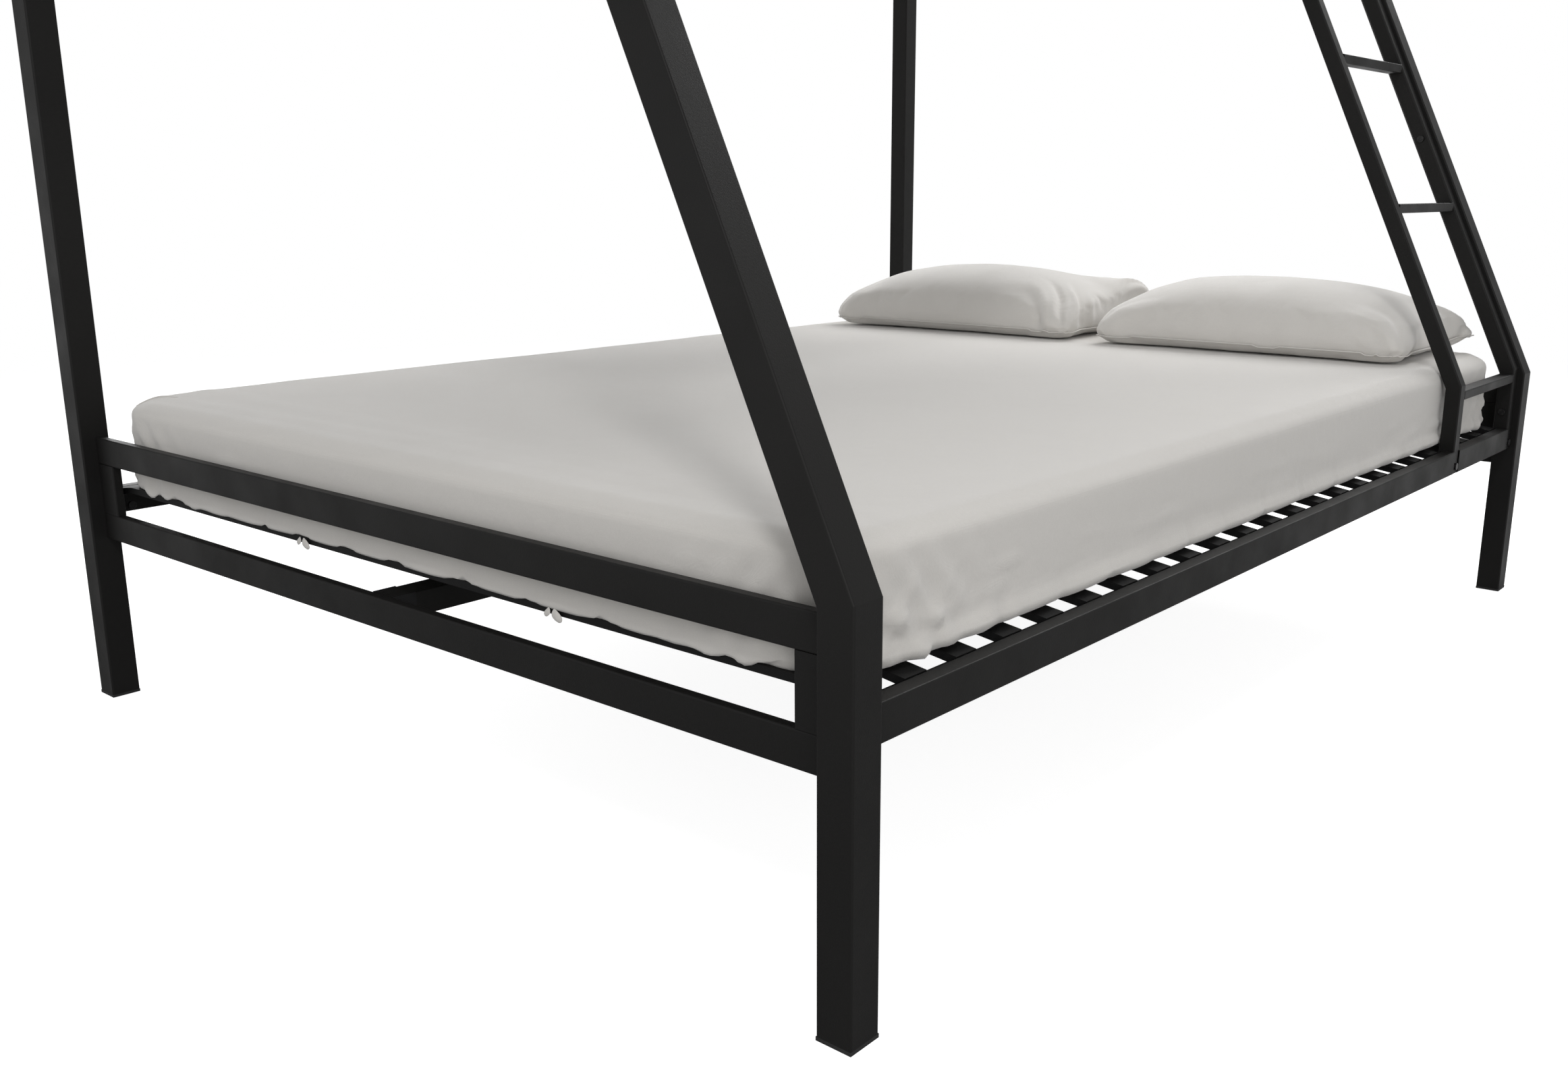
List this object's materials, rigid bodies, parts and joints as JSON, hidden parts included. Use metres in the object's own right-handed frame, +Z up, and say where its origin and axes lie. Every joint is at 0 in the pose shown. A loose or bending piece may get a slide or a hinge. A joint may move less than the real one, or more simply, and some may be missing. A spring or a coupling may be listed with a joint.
{
  "type": "bunk bed with ladder",
  "caption": "Steel bunk bed with a twin bunk over a full bunk, front legs and ladder that lean back to the narrower top, slatted bases, mattresses and pillows.",
  "frame": {"origin": "on the floor under the middle of the bed", "axes": "+Z up; +X towards the head end; -Y is the front, where the ladder is"},
  "size_m": [1.98, 1.443, 1.83],
  "materials": {
    "black_steel": "satin black powder coat",
    "slat_steel": "matt black powder coat",
    "inner_steel": "black powder coat, inside the frame",
    "bolt_steel": "black oxide",
    "black_plastic": "moulded black plastic",
    "mattress_sheet": "warm pale grey cotton sheet",
    "pillowcase": "warm pale grey cotton pillowcase"
  },
  "bodies": {
    "frame": {"beam_hangers": "inner_steel", "centre_beam": "black_steel", "foot_caps": "black_plastic", "foot_end_bottom_rail": "black_steel", "foot_end_stubs": "black_steel", "foot_end_top_rail": "black_steel", "frame_bolts": "bolt_steel", "front_guard_bar_1": "black_steel", "front_guard_bar_2": "black_steel", "front_guard_stays": "black_steel", "front_leg_foot": "black_steel", "front_leg_head": "black_steel", "front_side_rail": "black_steel", "head_end_bottom_rail": "black_steel", "head_end_stubs": "black_steel", "head_end_top_rail": "black_steel", "joining_sleeves": "inner_steel", "ladder_caps": "black_plastic", "ladder_lower_rail": "black_steel", "ladder_rung_1": "black_steel", "ladder_rung_2": "black_steel", "ladder_rung_3": "black_steel", "ladder_rung_4": "black_steel", "ladder_stile_foot_side": "black_steel", "ladder_stile_head_side": "black_steel", "ladder_upper_rail": "black_steel", "lower_front_ledge": "black_steel", "lower_rear_ledge": "black_steel", "lower_slats": "slat_steel", "rail_spigots": "inner_steel", "rear_guard_bar_1": "black_steel", "rear_guard_bar_2": "black_steel", "rear_guard_stays": "black_steel", "rear_leg_foot": "black_steel", "rear_leg_head": "black_steel", "rear_side_rail": "black_steel", "top_caps": "black_plastic", "upper_foot_bar_1": "black_steel", "upper_foot_bar_2": "black_steel", "upper_foot_bar_3": "black_steel", "upper_foot_bar_4": "black_steel", "upper_front_ledge": "black_steel", "upper_front_side_rail": "black_steel", "upper_head_bar_1": "black_steel", "upper_head_bar_2": "black_steel", "upper_head_bar_3": "black_steel", "upper_head_bar_4": "black_steel", "upper_post_front_foot": "black_steel", "upper_post_front_head": "black_steel", "upper_post_rear_foot": "black_steel", "upper_post_rear_head": "black_steel", "upper_rear_ledge": "black_steel", "upper_rear_side_rail": "black_steel", "upper_slats": "slat_steel"},
    "lower_mattress": {"lower_mattress": "mattress_sheet"},
    "front_pillow": {"lower_pillow_front": "pillowcase"},
    "rear_pillow": {"lower_pillow_rear": "pillowcase"},
    "upper_mattress": {"upper_mattress": "mattress_sheet"},
    "top_pillow": {"upper_pillow": "pillowcase"}
  },
  "joints": [
    {"name": "lower_mattress_lift", "type": "slide", "parent": "frame", "child": "lower_mattress", "axis": [0, 0.4283, 0.9037], "range_m": [0, 0.12]},
    {"name": "front_pillow_lift", "type": "slide", "parent": "lower_mattress", "child": "front_pillow", "axis": [0, 0, 1], "range_m": [0, 0.03]},
    {"name": "rear_pillow_lift", "type": "slide", "parent": "lower_mattress", "child": "rear_pillow", "axis": [0, 0, 1], "range_m": [0, 0.15]},
    {"name": "upper_mattress_lift", "type": "slide", "parent": "frame", "child": "upper_mattress", "axis": [0, 0, 1], "range_m": [0, 0.2]},
    {"name": "top_pillow_lift", "type": "slide", "parent": "upper_mattress", "child": "top_pillow", "axis": [0, 0, 1], "range_m": [0, 0.15]}
  ]
}
